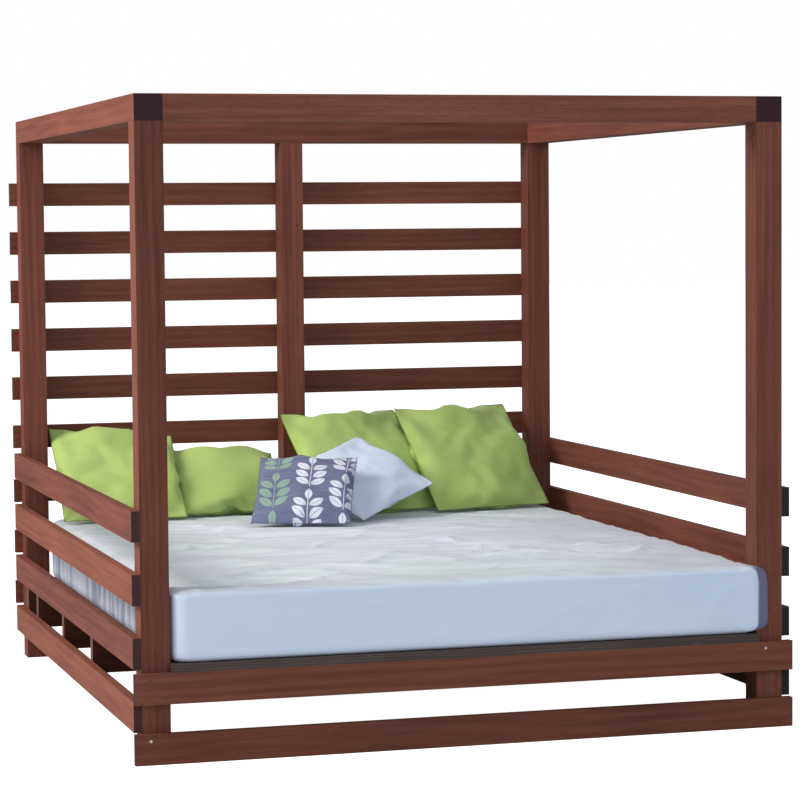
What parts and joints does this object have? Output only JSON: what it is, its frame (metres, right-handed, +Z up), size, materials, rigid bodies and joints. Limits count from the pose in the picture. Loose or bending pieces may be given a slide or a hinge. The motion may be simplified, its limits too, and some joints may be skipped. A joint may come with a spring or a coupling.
{
  "type": "outdoor daybed with open canopy frame",
  "caption": "Hardwood daybed with slatted back and sides, an open beam frame overhead, a sheeted mattress and loose cushions.",
  "frame": {"origin": "on the floor, below the middle of the object's box", "axes": "+X to the right of someone who faces the open front, +Y from the open front to the slatted back, +Z up"},
  "size_m": [2.05, 2.28, 1.93],
  "materials": {
    "post_wood": "satin oil stain on hardwood posts and beams",
    "rail_wood": "satin oil stain on planed hardwood boards",
    "deck_wood": "dull, weathered timber below the mattress",
    "screw_steel": "dull flat screw heads",
    "sheet_fabric": "thin cotton sheet, pale blue white",
    "green_fabric": "slubby lime green weave",
    "pale_fabric": "plain pale lavender blue weave",
    "printed_fabric": "slate blue cloth with a leaf print in white and sage"
  },
  "bodies": {
    "root": {"post_front_left": "post_wood", "post_front_right": "post_wood", "post_back_left": "post_wood", "post_back_middle": "post_wood", "post_back_right": "post_wood", "beam_left": "post_wood", "beam_right": "post_wood", "beam_front": "post_wood", "beam_back": "post_wood", "front_rail_lower": "rail_wood", "front_rail_upper": "rail_wood", "front_rail_screw_1": "screw_steel", "front_rail_screw_2": "screw_steel", "front_rail_screw_3": "screw_steel", "front_rail_screw_4": "screw_steel", "front_rail_screw_5": "screw_steel", "front_rail_screw_6": "screw_steel", "front_rail_screw_7": "screw_steel", "front_rail_screw_8": "screw_steel", "side_rail_left_1": "rail_wood", "side_rail_left_2": "rail_wood", "side_rail_left_3": "rail_wood", "side_rail_left_4": "rail_wood", "side_rail_right_1": "rail_wood", "side_rail_right_2": "rail_wood", "side_rail_right_3": "rail_wood", "side_rail_right_4": "rail_wood", "back_slat_1": "rail_wood", "back_slat_2": "rail_wood", "back_slat_3": "rail_wood", "back_slat_4": "rail_wood", "back_slat_5": "rail_wood", "back_slat_6": "rail_wood", "back_slat_7": "rail_wood", "back_slat_8": "rail_wood", "back_slat_9": "rail_wood", "ledger_left": "deck_wood", "ledger_right": "deck_wood", "joist_1": "deck_wood", "joist_2": "deck_wood", "joist_3": "deck_wood", "joist_4": "deck_wood", "deck_panel_left": "deck_wood", "deck_panel_right": "deck_wood"},
    "mattress_body": {"mattress": "sheet_fabric"},
    "green_cushion_1": {"cushion_green_1": "green_fabric"},
    "green_cushion_2": {"cushion_green_2": "green_fabric"},
    "green_cushion_3": {"cushion_green_3": "green_fabric"},
    "green_cushion_4": {"cushion_green_4": "green_fabric"},
    "diamond_cushion": {"cushion_diamond": "pale_fabric"},
    "printed_cushion": {"cushion_printed": "printed_fabric"}
  },
  "joints": [
    {"name": "mattress_lift", "type": "slide", "parent": "root", "child": "mattress_body", "axis": [0, 0, 1], "range_m": [0, 0.3]},
    {"name": "green_cushion_2_lift", "type": "slide", "parent": "mattress_body", "child": "green_cushion_2", "axis": [0, 0, 1], "range_m": [0, 0.25]},
    {"name": "green_cushion_1_lift", "type": "slide", "parent": "green_cushion_2", "child": "green_cushion_1", "axis": [0, 0, 1], "range_m": [0, 0.25]},
    {"name": "green_cushion_3_lift", "type": "slide", "parent": "mattress_body", "child": "green_cushion_3", "axis": [0, 0, 1], "range_m": [0, 0.25]},
    {"name": "green_cushion_4_lift", "type": "slide", "parent": "green_cushion_3", "child": "green_cushion_4", "axis": [0, 0, 1], "range_m": [0, 0.25]},
    {"name": "diamond_cushion_lift", "type": "slide", "parent": "green_cushion_3", "child": "diamond_cushion", "axis": [0, 0, 1], "range_m": [0, 0.25]},
    {"name": "printed_cushion_lift", "type": "slide", "parent": "diamond_cushion", "child": "printed_cushion", "axis": [0, 0, 1], "range_m": [0, 0.25]}
  ]
}
